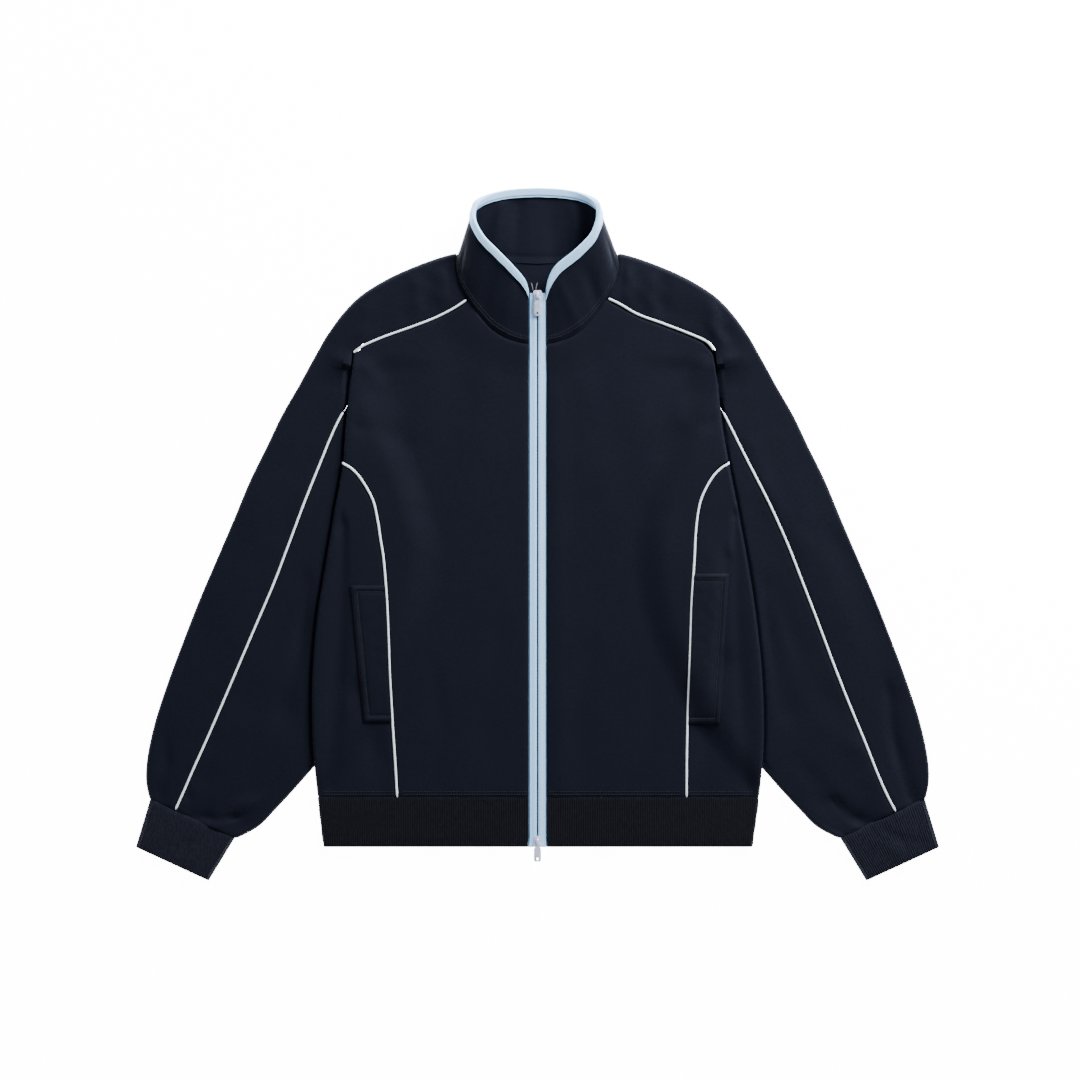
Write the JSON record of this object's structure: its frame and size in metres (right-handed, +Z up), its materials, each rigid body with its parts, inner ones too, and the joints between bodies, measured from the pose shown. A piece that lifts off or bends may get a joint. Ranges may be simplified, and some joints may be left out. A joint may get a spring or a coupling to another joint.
{
  "type": "zip-up sweatshirt",
  "caption": "Navy zip-up sweatshirt laid flat, with saddle sleeves, pale piping, a stand collar with pale blue binding, a pale two-way zip, slanted welts and ribbed hem and cuffs.",
  "frame": {"origin": "middle of the underside of the laid garment, on the surface it lies on", "axes": "+X to the right as seen from above with the collar away from the viewer, +Y towards the collar, +Z up out of the front"},
  "size_m": [0.9166, 0.7907, 0.0343],
  "materials": {
    "cloth": "smooth double-knit sweatshirt cloth, navy, matt with a soft sheen",
    "rib": "navy rib knit, ribs along the garment",
    "binding": "pale blue woven binding",
    "zip_tape": "pale blue woven zip tape",
    "zip_coil": "pale blue nylon coil",
    "piping": "pale corded piping with a slight sheen",
    "metal": "lilac grey enamelled zinc"
  },
  "bodies": {
    "garment": {"back": "cloth", "front_left": "cloth", "front_right": "cloth", "side_left": "cloth", "side_right": "cloth", "sleeve_upper_left": "cloth", "sleeve_upper_right": "cloth", "sleeve_under_left": "cloth", "sleeve_under_right": "cloth", "pocket_welt_left": "cloth", "pocket_welt_right": "cloth", "collar": "cloth", "cuff_left": "rib", "cuff_right": "rib", "hem_rib": "rib", "collar_binding": "binding", "zip_tape_left": "zip_tape", "zip_tape_right": "zip_tape", "zip_chain": "zip_coil", "saddle_piping_left": "piping", "saddle_piping_right": "piping", "sleeve_piping_left": "piping", "sleeve_piping_right": "piping", "side_piping_left": "piping", "side_piping_right": "piping", "slider_upper": "metal", "slider_lower": "metal"},
    "upper_pull": {"pull_upper": "metal"},
    "lower_pull": {"pull_lower": "metal"}
  },
  "joints": [
    {"name": "upper_pull_hinge", "type": "hinge", "parent": "garment", "child": "upper_pull", "pos_m": [0, 0.26911, 0.01976], "axis": [-1, 0, 0], "range_deg": [0, 110]},
    {"name": "lower_pull_hinge", "type": "hinge", "parent": "garment", "child": "lower_pull", "pos_m": [0, -0.3521, 0.0097], "axis": [-1, 0, 0], "range_deg": [0, 110]}
  ]
}
